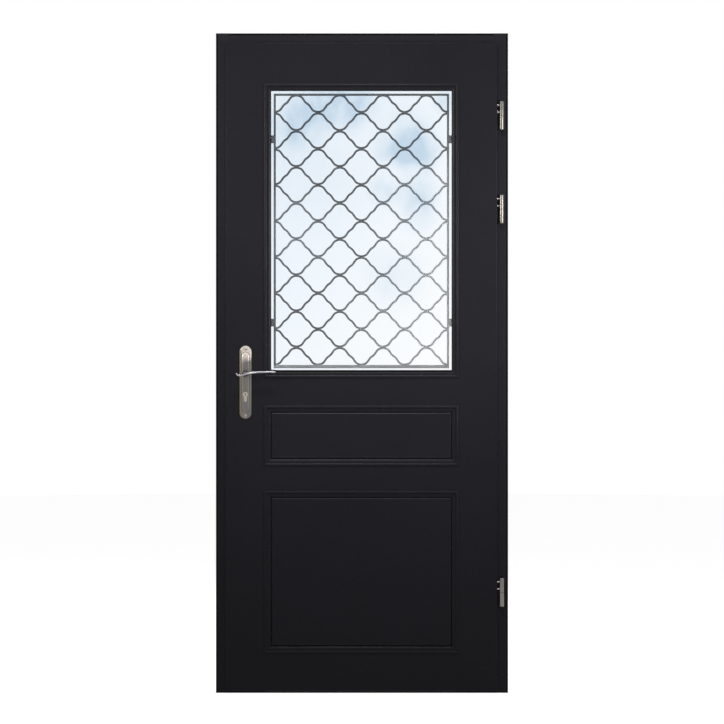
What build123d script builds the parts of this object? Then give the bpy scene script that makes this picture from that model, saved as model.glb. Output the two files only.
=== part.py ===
"""Glazed wooden entrance door in its frame, with a wave grille outside the glass.

Millimetres. +Z is up and the origin is the middle of the frame's underside. The
inside of the house is on the -Y side, which is where the hinges and the lock
handle with the long plate are seen. The leaf swings towards -Y.
"""
import math
import os
from build123d import *

os.makedirs("parts", exist_ok=True)

# Frame: two rebated jambs and a head
frame_width = 970.0
frame_height = 2190.0
frame_depth = 58.0
jamb_face = 45.0
head_face = 45.0
stop_width = 20.0
stop_depth = 21.0
frame_round = 2.0

# Rubber seal on the stop
seal_width = 9.0
seal_depth = 5.0
seal_edge = 2.0

# Aluminium threshold between the jambs
threshold_height = 20.0
threshold_front = 22.0
threshold_gutter = 6.0
threshold_back = 8.0
threshold_round = 1.5

# Leaf: a body inside the rebate and a lip that laps over the frame
leaf_thickness = 48.0
lip_thickness = 16.0
lip_width = 20.0
lip_gap = 5.0
lock_gap = 8.0
hinge_gap = 12.0
head_gap = 7.0
sill_gap = 8.0
leaf_round = 2.5

# Stiles and rails, measured on the inside face
stile_width = 133.0
top_rail_width = 142.0
lock_rail_bottom = 949.5
lock_rail_width = 102.5
middle_rail_width = 93.0
small_panel_height = 189.5
bottom_rail_width = 131.0

# Planted mouldings round the glass and the panels
moulding_width = 22.0
moulding_overlap = 5.0
moulding_proud = 6.0
moulding_swell = 1.4
moulding_edge = 3.5
bead_width = 8.0
bead_rise = 2.0
quirk_depth = 1.0
seat_depth = 12.0
mitre_gap = 0.2

# Raised panels
panel_play = 2.0
field_inset = 25.0
field_rise = 9.0
field_slope = 5.0

# Double glazing
glass_play = 3.0
pane_thickness = 4.0
spacer_inset = 2.0
spacer_width = 10.0

# Wave grille
strand_count = 15
wave_periods = 4
wave_steps = 8
strand_thickness = 4.5
grille_depth = 12.0
grille_margin = 10.5
grille_glass_gap = 4.0
weld_depth = 1.0
lug_height = 26.0
lug_inset = 177.0

# Door furniture on the lock stile
lever_height = 1062.0
cylinder_drop = 70.0
backset = 46.0
plate_width = 39.5
plate_length = 242.0
plate_rise = 91.0
plate_thickness = 4.0
plate_field_width = 27.5
plate_field_length = 200.0
plate_field_rise = 4.0
plate_field_ease = 1.5
plate_ease = 1.0
collar_diameter = 27.0
collar_rise = 3.0
screw_inset = 11.0
screw_diameter = 5.0

# Levers and their spindle
neck_diameter = 18.0
neck_play = 0.05
neck_stand_off = 0.5
neck_shoulder = 3.0
grip_reach = 40.0
grip_depth = 12.0
grip_height = 8.0
grip_tip_height = 6.0
grip_length = 101.0
tail_length = 33.0
outside_tail_length = 24.0
grip_lift = 5.0
tail_drop = 3.0
dip_drop = 9.5
neck_waist = 14.0
grip_bend = 18.0
grip_ease = 1.8
tip_roundness = 0.9
spindle_size = 8.0
spindle_play = 0.1
spindle_hole = 17.0
spindle_end = 14.0

# Profile cylinder
cylinder_round = 17.0
cylinder_lobe = 10.0
cylinder_height = 33.0
cylinder_proud = 3.0
cylinder_play = 0.3
keyway_width = 2.5
keyway_height = 8.0
keyway_depth = 5.0

# Lock faceplate in the leaf's edge and strike plate in the jamb
faceplate_length = 235.0
faceplate_width = 20.0
faceplate_thickness = 3.0
faceplate_drop = 30.0
latch_height = 18.0
latch_width = 12.0
bolt_height = 34.0
bolt_play = 0.2
bolt_depth = 14.0
strike_length = 190.0
strike_width = 24.0
strike_thickness = 2.5
strike_corner = 4.0
strike_pocket = 16.0

# Barrel hinges
top_hinge_drop = 241.5
middle_hinge_drop = 552.0
bottom_hinge_rise = 327.5
hinge_length = 95.0
barrel_diameter = 16.0
barrel_gap = 0.4
barrel_ease = 1.5
barrel_stand_off = 5.0
barrel_side_gap = 7.0
hinge_pin_diameter = 8.0
hinge_pin_play = 0.05
hinge_pin_length = 38.0
hinge_pin_end_gap = 1.0
stud_diameter = 7.0
stud_play = 0.1
stud_end = 13.0
stud_spacing = 23.5
stud_depth = 34.0
stud_root = 2.0
stud_tip_gap = 0.5

# Weather bar outside the foot of the leaf
weather_bar_end = 12.0
weather_bar_bottom = 6.0
weather_bar_height = 58.0
weather_bar_depth = 34.0
weather_bar_lip = 12.0
weather_bar_hollow = 8.0
drip_groove = 2.5
drip_inset = 7.0

# Planes of the frame and the leaf across the wall
frame_front = -frame_depth / 2
frame_back = frame_depth / 2
stop_face = frame_back - stop_depth
lip_back = frame_front - lip_gap
face_in = lip_back - lip_thickness
face_out = face_in + leaf_thickness

# Rebate and stop edges seen from the front
jamb_x = frame_width / 2 - jamb_face
stop_x = jamb_x - stop_width
head_z = frame_height - head_face
stop_z = head_z - stop_width

# Leaf edges seen from the front
body_left = -jamb_x + lock_gap
body_right = jamb_x - hinge_gap
body_top = head_z - head_gap
body_bottom = threshold_height + sill_gap
lip_left = body_left - lip_width
lip_right = body_right + lip_width
lip_top = body_top + lip_width
lip_bottom = body_bottom - lip_width

# Openings between the stiles and rails
open_left = lip_left + stile_width
open_right = lip_right - stile_width
open_middle = (open_left + open_right) / 2
open_width = open_right - open_left
glass_bottom = lock_rail_bottom + lock_rail_width
glass_top = lip_top - top_rail_width
small_top = lock_rail_bottom
small_bottom = small_top - small_panel_height
lower_top = small_bottom - middle_rail_width
lower_bottom = lip_bottom + bottom_rail_width
seat_in = face_in + seat_depth
seat_out = face_out - seat_depth

# Axes of the door furniture and the hinges
spindle_x = body_left + backset
cylinder_z = lever_height - cylinder_drop
barrel_radius = barrel_diameter / 2
hinge_x = lip_right + barrel_side_gap + barrel_radius
hinge_y = frame_front - barrel_stand_off - barrel_radius
faceplate_z = lever_height - faceplate_drop
edge_middle = (lip_back + face_out) / 2
hinges = (
    ("top", lip_top - top_hinge_drop),
    ("middle", lip_top - middle_hinge_drop),
    ("bottom", lip_bottom + bottom_hinge_rise),
)
bolt_windows = ((lever_height, latch_height), (cylinder_z, bolt_height))


def face_plane(y, outward):
    """Sketch plane on the face at y, facing outward (-1 inside, 1 outside), its y axis up."""
    return Plane(origin=(0, y, 0), x_dir=(-outward, 0, 0), z_dir=(0, outward, 0))


def save(piece, name):
    """Label a finished piece and write it to its own file."""
    piece.part.label = name
    export_step(piece.part, f"parts/{name}.step")


def jamb_profile(side):
    """Rebated section of a jamb, for side -1 (lock) or 1 (hinges)."""
    outer = side * frame_width / 2
    with BuildSketch(Plane.XY) as section:
        with BuildLine():
            Polyline(
                (outer, frame_front),
                (side * jamb_x, frame_front),
                (side * jamb_x, stop_face),
                (side * stop_x, stop_face),
                (side * stop_x, frame_back),
                (outer, frame_back),
                close=True,
            )
        make_face()
    return section.sketch


# Lock jamb, with the pocket that the strike plate closes
with BuildPart() as frame_lock_jamb:
    extrude(to_extrude=jamb_profile(-1), amount=frame_height)
    fillet(frame_lock_jamb.edges().filter_by(Axis.Z).group_by(Axis.Y)[0], frame_round)
    with Locations((-jamb_x - strike_thickness / 2, edge_middle, faceplate_z)):
        Box(strike_thickness, strike_width, strike_length, mode=Mode.SUBTRACT)
    for pocket_z, pocket_height in bolt_windows:
        with Locations((-jamb_x - strike_thickness - strike_pocket / 2, edge_middle, pocket_z)):
            Box(strike_pocket, latch_width, pocket_height, mode=Mode.SUBTRACT)
save(frame_lock_jamb, "frame_lock_jamb")

# Hinge jamb, bored for the two studs of each lower hinge half
with BuildPart() as frame_hinge_jamb:
    extrude(to_extrude=jamb_profile(1), amount=frame_height)
    fillet(frame_hinge_jamb.edges().filter_by(Axis.Z).group_by(Axis.Y)[0], frame_round)
    for _, hinge_z in hinges:
        low_stud = hinge_z - hinge_length / 2 + stud_end
        for stud_z in (low_stud, low_stud + stud_spacing):
            with BuildSketch(Plane.XZ.offset(-frame_front)):
                with Locations((hinge_x, stud_z)):
                    Circle(stud_diameter / 2 + stud_play)
            extrude(amount=-stud_depth, mode=Mode.SUBTRACT)
save(frame_hinge_jamb, "frame_hinge_jamb")

# Head, fitted between the jambs and notched round their stops
with BuildPart() as frame_head:
    with BuildSketch(Plane.YZ.offset(-jamb_x)):
        with BuildLine():
            Polyline(
                (frame_front, head_z),
                (stop_face, head_z),
                (stop_face, stop_z),
                (frame_back, stop_z),
                (frame_back, frame_height),
                (frame_front, frame_height),
                close=True,
            )
        make_face()
    extrude(amount=2 * jamb_x)
    fillet(frame_head.edges().filter_by(Axis.X).group_by(Axis.Y)[0], frame_round)
    for side in (-1, 1):
        with Locations((side * (jamb_x - stop_width / 2), (stop_face + frame_back) / 2, head_z)):
            Box(stop_width, stop_depth, 2 * head_face, mode=Mode.SUBTRACT)
save(frame_head, "frame_head")

# Threshold: front rib, gutter behind it and a slope that sheds water outside
with BuildPart() as threshold:
    rib_back = frame_front + threshold_front
    with BuildSketch(Plane.YZ.offset(-jamb_x)):
        with BuildLine():
            Polyline(
                (frame_front, 0),
                (frame_front, threshold_height),
                (rib_back, threshold_height),
                (rib_back, threshold_height - threshold_gutter),
                (frame_back, threshold_back),
                (frame_back, 0),
                close=True,
            )
        make_face()
    extrude(amount=2 * jamb_x)
    fillet(threshold.edges().filter_by(Axis.X).group_by(Axis.Z)[-1], threshold_round)
    for side in (-1, 1):
        with Locations((side * (jamb_x - stop_width / 2), (stop_face + frame_back) / 2, 0)):
            Box(stop_width, stop_depth, 2 * threshold_height, mode=Mode.SUBTRACT)
save(threshold, "threshold")

# Seal: a soft D section on each stop, kept clear of its neighbours at the corners
with BuildPart() as frame_seal:
    seal_x = stop_x + seal_edge + seal_width / 2
    seal_z = stop_z + seal_edge + seal_width / 2
    for side in (-1, 1):
        with BuildSketch(Plane.XY.offset(threshold_height)):
            with BuildLine():
                seal_start = (side * seal_x - seal_width / 2, stop_face)
                seal_end = (side * seal_x + seal_width / 2, stop_face)
                ThreePointArc(seal_start, (side * seal_x, stop_face - seal_depth), seal_end)
                Line(seal_end, seal_start)
            make_face()
        extrude(amount=stop_z - threshold_height)
    with BuildSketch(Plane.YZ.offset(-stop_x)):
        with BuildLine():
            seal_start = (stop_face, seal_z - seal_width / 2)
            seal_end = (stop_face, seal_z + seal_width / 2)
            ThreePointArc(seal_start, (stop_face - seal_depth, seal_z), seal_end)
            Line(seal_end, seal_start)
        make_face()
    extrude(amount=2 * stop_x)
save(frame_seal, "frame_seal")

# Strike plate, let into the lock jamb, with a window for the latch and one for the bolt
with BuildPart() as strike_plate:
    with Locations((-jamb_x - strike_thickness / 2, edge_middle, faceplate_z)):
        Box(strike_thickness, strike_width, strike_length)
    fillet(strike_plate.edges().filter_by(Axis.X), strike_corner)
    for window_z, window_height in bolt_windows:
        with Locations((-jamb_x - strike_thickness / 2, edge_middle, window_z)):
            Box(strike_thickness, latch_width, window_height, mode=Mode.SUBTRACT)
save(strike_plate, "strike_plate")


def lapped_profile(edge, inner):
    """Plan section of a stile: its body from edge to inner, and the lip outside edge."""
    outward = math.copysign(1, edge - inner)
    with BuildSketch(Plane.XY) as section:
        with BuildLine():
            Polyline(
                (inner, face_in),
                (edge + outward * lip_width, face_in),
                (edge + outward * lip_width, lip_back),
                (edge, lip_back),
                (edge, face_out),
                (inner, face_out),
                close=True,
            )
        make_face()
    return section.sketch


def stile(edge, inner):
    """Full-height stile whose body stops short of the lip at the head and the foot."""
    with BuildPart() as piece:
        with BuildSketch(Plane.XY.offset(lip_bottom)):
            add(lapped_profile(edge, inner))
        extrude(amount=lip_top - lip_bottom)
        long_edges = piece.edges().filter_by(Axis.Z).group_by(Axis.Y)[0]
        fillet(long_edges.sort_by(Axis.X)[0 if edge < inner else -1], leaf_round)
        for end_z in (lip_bottom + lip_width / 2, lip_top - lip_width / 2):
            with Locations(((edge + inner) / 2, (lip_back + face_out) / 2, end_z)):
                Box(stile_width, face_out - lip_back, lip_width, mode=Mode.SUBTRACT)
    return piece.part


def cylinder_outline(grow):
    """Profile cylinder's outline round its own axis, grown by a clearance."""
    round_radius = cylinder_round / 2 + grow
    lobe_bottom = cylinder_round / 2 - cylinder_height - grow
    lobe_radius = cylinder_lobe / 2 + grow
    with BuildSketch() as outline:
        Circle(round_radius)
        with Locations((0, (lobe_bottom + lobe_radius) / 2)):
            Rectangle(2 * lobe_radius, -(lobe_bottom + lobe_radius))
        with Locations((0, lobe_bottom + lobe_radius)):
            Circle(lobe_radius)
    return outline.sketch


# Lock stile: bored for the spindle and the profile cylinder, rebated for the faceplate
with BuildPart() as lock_stile:
    add(stile(body_left, open_left))
    with BuildSketch(Plane.XZ.offset(-face_in)):
        with Locations((spindle_x, lever_height)):
            Circle(spindle_hole / 2)
        with Locations((spindle_x, cylinder_z)):
            add(cylinder_outline(cylinder_play))
    extrude(amount=-leaf_thickness, mode=Mode.SUBTRACT)
    with BuildSketch(Plane.YZ.offset(body_left)):
        with Locations((edge_middle, faceplate_z)):
            SlotOverall(faceplate_length, faceplate_width, rotation=90)
    extrude(amount=faceplate_thickness, mode=Mode.SUBTRACT)
    for window_z, window_height in bolt_windows:
        with Locations((body_left + bolt_depth / 2, edge_middle, window_z)):
            Box(bolt_depth, latch_width, window_height, mode=Mode.SUBTRACT)
save(lock_stile, "lock_stile")

# Hinge stile, bored from its edge for the studs of each upper hinge half
with BuildPart() as hinge_stile:
    add(stile(body_right, open_right))
    for _, hinge_z in hinges:
        high_stud = hinge_z + hinge_length / 2 - stud_end
        for stud_z in (high_stud - stud_spacing, high_stud):
            with BuildSketch(Plane.YZ.offset(lip_right)):
                with Locations((hinge_y, stud_z)):
                    Circle(stud_diameter / 2 + stud_play)
            extrude(amount=-stud_depth, mode=Mode.SUBTRACT)
save(hinge_stile, "hinge_stile")


def rail(bottom, top):
    """Rail between the stiles over the whole thickness of the leaf."""
    with BuildPart() as piece:
        with Locations((open_middle, (face_in + face_out) / 2, (bottom + top) / 2)):
            Box(open_width, leaf_thickness, top - bottom)
    return piece.part


# Top and bottom rails carry the lip on as a step in their outer edge
with BuildPart() as top_rail:
    add(rail(glass_top, lip_top))
    with Locations((open_middle, (lip_back + face_out) / 2, lip_top - lip_width / 2)):
        Box(open_width, face_out - lip_back, lip_width, mode=Mode.SUBTRACT)
    fillet(top_rail.edges().filter_by(Axis.X).group_by(Axis.Y)[0].sort_by(Axis.Z)[-1], leaf_round)
save(top_rail, "top_rail")

with BuildPart() as bottom_rail:
    add(rail(lip_bottom, lower_bottom))
    with Locations((open_middle, (lip_back + face_out) / 2, lip_bottom + lip_width / 2)):
        Box(open_width, face_out - lip_back, lip_width, mode=Mode.SUBTRACT)
    fillet(bottom_rail.edges().filter_by(Axis.X).group_by(Axis.Y)[0].sort_by(Axis.Z)[0], leaf_round)
save(bottom_rail, "bottom_rail")

with BuildPart() as lock_rail:
    add(rail(small_top, glass_bottom))
save(lock_rail, "lock_rail")

with BuildPart() as middle_rail:
    add(rail(lower_top, small_bottom))
save(middle_rail, "middle_rail")


def raised_panel(bottom, top):
    """Panel with a flat margin under the mouldings and a sloped, raised field on both faces."""
    middle_z = (bottom + top) / 2
    with BuildPart() as piece:
        with Locations((open_middle, (seat_in + seat_out) / 2, middle_z)):
            Box(open_width - 2 * panel_play, seat_out - seat_in, top - bottom - 2 * panel_play)
        for field_plane in (face_plane(seat_in, -1), face_plane(seat_out, 1)):
            foot_width = open_width - 2 * (field_inset - field_slope)
            foot_height = top - bottom - 2 * (field_inset - field_slope)
            with BuildSketch(field_plane):
                with Locations((-field_plane.z_dir.Y * open_middle, middle_z)):
                    Rectangle(foot_width, foot_height)
            extrude(amount=field_rise, taper=math.degrees(math.atan(field_slope / field_rise)))
    return piece.part


with BuildPart() as small_panel:
    add(raised_panel(small_bottom, small_top))
save(small_panel, "small_panel")

with BuildPart() as lower_panel:
    add(raised_panel(lower_bottom, lower_top))
save(lower_panel, "lower_panel")


def moulding_section(moulded):
    """Moulding section: x runs from the stile's edge into the opening, y out of the face."""
    bead_end = bead_width - moulding_overlap
    bead_foot = moulding_proud - bead_rise
    quirk_x = bead_end + bead_foot + quirk_depth
    quirk_y = -quirk_depth
    inner_x = moulding_width - moulding_overlap
    inner_y = -seat_depth + moulding_edge
    with BuildSketch(Plane.XY) as section:
        with BuildLine():
            Polyline((inner_x, -seat_depth), (0, -seat_depth), (0, 0), (-moulding_overlap, 0))
            Line((-moulding_overlap, 0), (-moulding_overlap, bead_foot))
            if moulded:
                bead_middle = (bead_end - moulding_overlap) / 2
                bead_finish = (bead_end, bead_foot)
                ThreePointArc((-moulding_overlap, bead_foot), (bead_middle, moulding_proud), bead_finish)
                Line(bead_finish, (quirk_x, quirk_y))
                SagittaArc((quirk_x, quirk_y), (inner_x, inner_y), moulding_swell)
            else:
                Polyline(
                    (-moulding_overlap, bead_foot),
                    (-moulding_overlap + bead_rise, moulding_proud),
                    (bead_end, moulding_proud),
                    (inner_x, inner_y),
                )
            Line((inner_x, inner_y), (inner_x, -seat_depth))
        make_face()
    return section.sketch


def mitred_bar(length, moulded):
    """One bar of a moulding frame, run along X and mitred at both ends."""
    with BuildPart() as bar:
        with BuildSketch(Plane.YZ.offset(-length / 2 - moulding_overlap)):
            add(moulding_section(moulded))
        extrude(amount=length + 2 * moulding_overlap)
        for side in (-1, 1):
            corner = (side * (length / 2 - mitre_gap / 2), 0, 0)
            mitre = Plane(origin=corner, x_dir=(0, 0, 1), z_dir=(-side, -1, 0))
            split(bisect_by=mitre, keep=Keep.TOP)
    return bar.part


def moulding_frame(bottom, top, face_y, outward):
    """Four mitred bars round an opening: beaded on the inside face, plainly bevelled outside."""
    middle_z = (bottom + top) / 2
    long_side = top - bottom
    sides = (
        ((open_middle, face_y, bottom), Vector(0, 0, 1), open_width),
        ((open_middle, face_y, top), Vector(0, 0, -1), open_width),
        ((open_left, face_y, middle_z), Vector(1, 0, 0), long_side),
        ((open_right, face_y, middle_z), Vector(-1, 0, 0), long_side),
    )
    normal = Vector(0, outward, 0)
    with BuildPart() as frame:
        for origin, inward, length in sides:
            place = Plane(origin=origin, x_dir=inward.cross(normal), z_dir=normal)
            add(mitred_bar(length, outward < 0).moved(place.location))
    return frame.part


# Mouldings on both faces round the glass and the two panels
moulded_openings = (
    ("glass", glass_bottom, glass_top),
    ("small_panel", small_bottom, small_top),
    ("lower_panel", lower_bottom, lower_top),
)
for opening_name, opening_bottom, opening_top in moulded_openings:
    for face_name, face_y, outward in (("inside", face_in, -1), ("outside", face_out, 1)):
        with BuildPart() as moulding:
            add(moulding_frame(opening_bottom, opening_top, face_y, outward))
        save(moulding, f"{opening_name}_{face_name}_moulding")


# Double glazing between the inside and outside mouldings
glass_width = open_width - 2 * glass_play
glass_height = glass_top - glass_bottom - 2 * glass_play
glass_middle = (glass_bottom + glass_top) / 2
for pane_name, pane_y in (
    ("inner_pane", seat_in + pane_thickness / 2),
    ("outer_pane", seat_out - pane_thickness / 2),
):
    with BuildPart() as pane:
        with Locations((open_middle, pane_y, glass_middle)):
            Box(glass_width, pane_thickness, glass_height)
    save(pane, pane_name)

with BuildPart() as glass_spacer:
    spacer_depth = seat_out - seat_in - 2 * pane_thickness
    spacer_out_width = glass_width - 2 * spacer_inset
    spacer_out_height = glass_height - 2 * spacer_inset
    with Locations((open_middle, (seat_in + seat_out) / 2, glass_middle)):
        Box(spacer_out_width, spacer_depth, spacer_out_height)
        Box(
            spacer_out_width - 2 * spacer_width,
            spacer_depth,
            spacer_out_height - 2 * spacer_width,
            mode=Mode.SUBTRACT,
        )
save(glass_spacer, "glass_spacer")


# Grille: bent flat bars, each welded by its crests to the troughs of the one above
sight_inset = moulding_width - moulding_overlap
bar_left = open_left + sight_inset + grille_margin
bar_right = open_right - sight_inset - grille_margin
bar_bottom = glass_bottom + sight_inset + grille_margin
bar_top = glass_top - sight_inset - grille_margin
grille_front = seat_out + grille_glass_gap
strand_pitch = (bar_top - bar_bottom) / strand_count
wave_swing = (strand_pitch - strand_thickness + weld_depth) / 2


def wave_points(middle_z, direction):
    """Centre line of one strand: a cosine wave that starts and ends on a trough or a crest."""
    points = []
    step_count = wave_periods * wave_steps
    for step in range(step_count + 1):
        angle = 2 * math.pi * wave_periods * step / step_count
        x = bar_left + (bar_right - bar_left) * step / step_count
        points.append((x, middle_z - direction * wave_swing * math.cos(angle)))
    return points


with BuildPart() as grille:
    with BuildSketch(Plane.XZ.offset(-grille_front)):
        bar_width = bar_right - bar_left
        bar_height = bar_top - bar_bottom
        with Locations(((bar_left + bar_right) / 2, (bar_bottom + bar_top) / 2)):
            Rectangle(bar_width + strand_thickness, bar_height + strand_thickness)
            Rectangle(bar_width - strand_thickness, bar_height - strand_thickness, mode=Mode.SUBTRACT)
        for strand in range(strand_count):
            strand_z = bar_top - strand_pitch * (strand + 0.5)
            with BuildLine():
                Polyline(*wave_points(strand_z, 1 if strand % 2 == 0 else -1))
            trace(line_width=strand_thickness)
    extrude(amount=-grille_depth)
save(grille, "grille")

# Lugs that carry the grille, two on each side of the reveal
with BuildPart() as grille_lugs:
    lug_gap = grille_margin - strand_thickness / 2
    for lug_z in (glass_bottom + lug_inset, glass_top - lug_inset):
        for side, sight_x in ((1, open_left + sight_inset), (-1, open_right - sight_inset)):
            with Locations((sight_x + side * lug_gap / 2, grille_front + grille_depth / 2, lug_z)):
                Box(lug_gap, grille_depth, lug_height)
save(grille_lugs, "grille_lugs")


# Lock faceplate in the leaf's edge, and the ends of the latch and the dead bolt in its windows
with BuildPart() as lock_faceplate:
    with BuildSketch(Plane.YZ.offset(body_left)):
        with Locations((edge_middle, faceplate_z)):
            SlotOverall(faceplate_length, faceplate_width, rotation=90)
        for window_z, window_height in bolt_windows:
            with Locations((edge_middle, window_z)):
                Rectangle(latch_width, window_height, mode=Mode.SUBTRACT)
    extrude(amount=faceplate_thickness)
save(lock_faceplate, "lock_faceplate")

with BuildPart() as lock_bolts:
    for window_z, window_height in bolt_windows:
        with Locations((body_left + bolt_depth / 2, edge_middle, window_z)):
            Box(bolt_depth, latch_width - 2 * bolt_play, window_height - 2 * bolt_play)
save(lock_bolts, "lock_bolts")


def handle_plate(face_y, outward):
    """Long plate with a raised field, a collar round the lever's neck and three cut-outs."""
    back = face_plane(face_y, outward)
    plate_x = -outward * spindle_x
    plate_z = lever_height + plate_rise - plate_length / 2
    full_rise = plate_thickness + plate_field_rise + collar_rise
    with BuildPart() as plate:
        with BuildSketch(back):
            with Locations((plate_x, plate_z)):
                SlotOverall(plate_length, plate_width, rotation=90)
        extrude(amount=plate_thickness)
        chamfer(plate.faces().sort_by(Axis.Y)[0 if outward < 0 else -1].edges(), plate_ease)
        with BuildSketch(back.offset(plate_thickness)):
            with Locations((plate_x, plate_z)):
                SlotOverall(plate_field_length, plate_field_width, rotation=90)
        extrude(amount=plate_field_rise)
        chamfer(plate.faces().sort_by(Axis.Y)[0 if outward < 0 else -1].edges(), plate_field_ease)
        with BuildSketch(back.offset(plate_thickness + plate_field_rise)):
            with Locations((plate_x, lever_height)):
                Circle(collar_diameter / 2 - plate_field_ease)
        extrude(amount=collar_rise)
        with BuildSketch(back):
            with Locations((plate_x, lever_height)):
                Circle(neck_diameter / 2 + neck_play)
            with Locations((plate_x, cylinder_z)):
                add(cylinder_outline(cylinder_play))
        extrude(amount=full_rise, mode=Mode.SUBTRACT)
        screw_reach = plate_length / 2 - screw_inset
        with Locations(back.offset(plate_thickness)):
            with Locations((plate_x, plate_z - screw_reach), (plate_x, plate_z + screw_reach)):
                Hole(screw_diameter / 2)
    return plate.part


with BuildPart() as inside_plate:
    add(handle_plate(face_in, -1))
save(inside_plate, "inside_plate")

with BuildPart() as outside_plate:
    add(handle_plate(face_out, 1))
save(outside_plate, "outside_plate")


def lever(face_y, outward, tail):
    """Wave lever on a stepped neck, its grip standing off the face at face_y."""
    grip_middle = grip_reach + grip_depth / 2
    half_tip = grip_tip_height / 2
    half_grip = grip_height / 2
    waist_start = plate_thickness + plate_field_rise + collar_rise + neck_shoulder
    line = (
        (-tail, -tail_drop, half_tip),
        (-tail * 0.6, -dip_drop, half_grip),
        (grip_length * 0.16, grip_lift * 0.2, half_grip),
        (grip_length * 0.8, grip_lift, half_grip),
        (grip_length, grip_lift * 0.6, half_tip),
    )
    upper = [(x, z + half) for x, z, half in line]
    lower = [(x, z - half) for x, z, half in reversed(line)]
    with BuildPart() as piece:
        with BuildSketch(Plane.XZ.offset(grip_reach)) as outline:
            with BuildLine():
                Polyline(*upper, *lower, close=True)
            make_face()
            columns = outline.vertices().group_by(Axis.X)
            fillet(columns[0] + columns[-1], half_tip * tip_roundness)
            bends = [v for group in columns[1:-1] for v in group]
            fillet(bends, grip_bend)
        extrude(amount=grip_depth)
        chamfer(piece.faces().filter_by(Axis.Y).edges(), grip_ease)
        with BuildSketch(Plane.YZ):
            with BuildLine():
                Polyline(
                    (-neck_stand_off, 0),
                    (-neck_stand_off, neck_diameter / 2),
                    (-waist_start, neck_diameter / 2),
                    (-waist_start, neck_waist / 2),
                    (-grip_middle, neck_waist / 2),
                    (-grip_middle, 0),
                    close=True,
                )
            make_face()
        revolve(axis=Axis.Y)
        socket = spindle_size + 2 * spindle_play
        with Locations((0, -neck_stand_off - (spindle_end + neck_stand_off) / 2, 0)):
            Box(socket, spindle_end + neck_stand_off, socket, mode=Mode.SUBTRACT)
    placed = piece.part if outward < 0 else piece.part.mirror(Plane.XZ)
    return placed.moved(Location((spindle_x, face_y, lever_height)))


with BuildPart() as inside_lever:
    add(lever(face_in, -1, tail_length))
save(inside_lever, "inside_lever")

with BuildPart() as outside_lever:
    add(lever(face_out, 1, outside_tail_length))
save(outside_lever, "outside_lever")

with BuildPart() as spindle:
    spindle_length = leaf_thickness + 2 * (neck_stand_off + spindle_end)
    with Locations((spindle_x, (face_in + face_out) / 2, lever_height)):
        Box(spindle_size, spindle_length, spindle_size)
save(spindle, "spindle")

# Profile cylinder through the leaf and both plates, with a keyway in each end
with BuildPart() as lock_cylinder:
    cylinder_reach = plate_thickness + plate_field_rise + cylinder_proud
    with BuildSketch(Plane.XZ.offset(-face_in + cylinder_reach)):
        with Locations((spindle_x, cylinder_z)):
            add(cylinder_outline(0))
    extrude(amount=-(leaf_thickness + 2 * cylinder_reach))
    for end_y in (face_in - cylinder_reach, face_out + cylinder_reach):
        with Locations((spindle_x, end_y, cylinder_z)):
            Box(keyway_width, 2 * keyway_depth, keyway_height, mode=Mode.SUBTRACT)
save(lock_cylinder, "lock_cylinder")


def barrel(low_z, high_z, eased):
    """Half of a hinge barrel on the hinge axis, chamfered at its free end."""
    with BuildPart() as piece:
        with BuildSketch(Plane.XY.offset(low_z)):
            with Locations((hinge_x, hinge_y)):
                Circle(barrel_radius)
        extrude(amount=high_z - low_z)
        chamfer(piece.edges().filter_by(GeomType.CIRCLE).sort_by(Axis.Z)[eased], barrel_ease)
    return piece.part


# Hinges: the upper half rides on the leaf, the lower half carries the pin
for hinge_name, hinge_z in hinges:
    high_stud = hinge_z + hinge_length / 2 - stud_end
    low_stud = hinge_z - hinge_length / 2 + stud_end
    with BuildPart() as leaf_half:
        add(barrel(hinge_z + barrel_gap / 2, hinge_z + hinge_length / 2, -1))
        with BuildSketch(Plane.XY.offset(hinge_z + barrel_gap / 2)):
            with Locations((hinge_x, hinge_y)):
                Circle(hinge_pin_diameter / 2 + hinge_pin_play)
        extrude(amount=hinge_pin_length + hinge_pin_end_gap, mode=Mode.SUBTRACT)
        for stud_z in (high_stud - stud_spacing, high_stud):
            with BuildSketch(Plane.YZ.offset(hinge_x - barrel_radius + stud_root)):
                with Locations((hinge_y, stud_z)):
                    Circle(stud_diameter / 2)
            extrude(amount=-(stud_root + barrel_side_gap + stud_depth - stud_tip_gap))
    save(leaf_half, f"{hinge_name}_hinge_leaf_half")
    with BuildPart() as frame_half:
        add(barrel(hinge_z - hinge_length / 2, hinge_z - barrel_gap / 2, 0))
        with BuildSketch(Plane.XY.offset(hinge_z - barrel_gap / 2)):
            with Locations((hinge_x, hinge_y)):
                Circle(hinge_pin_diameter / 2)
        extrude(amount=hinge_pin_length)
        for stud_z in (low_stud, low_stud + stud_spacing):
            with BuildSketch(Plane.XZ.offset(-(hinge_y + barrel_radius - stud_root))):
                with Locations((hinge_x, stud_z)):
                    Circle(stud_diameter / 2)
            extrude(amount=-(stud_root + barrel_stand_off + stud_depth - stud_tip_gap))
    save(frame_half, f"{hinge_name}_hinge_frame_half")

# Weather bar: planted on the outside, hollow-topped, with a drip groove beneath
with BuildPart() as weather_bar:
    bar_end = stop_x - weather_bar_end
    bar_foot = body_bottom + weather_bar_bottom
    bar_nose = face_out + weather_bar_depth
    with BuildSketch(Plane.YZ.offset(-bar_end)):
        with BuildLine():
            Polyline(
                (face_out, bar_foot + weather_bar_height),
                (face_out, bar_foot),
                (bar_nose, bar_foot),
                (bar_nose, bar_foot + weather_bar_lip),
            )
            SagittaArc(
                (bar_nose, bar_foot + weather_bar_lip),
                (face_out, bar_foot + weather_bar_height),
                weather_bar_hollow,
            )
        make_face()
        with Locations((bar_nose - drip_inset, bar_foot)):
            Circle(drip_groove, mode=Mode.SUBTRACT)
    extrude(amount=2 * bar_end)
save(weather_bar, "weather_bar")
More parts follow.
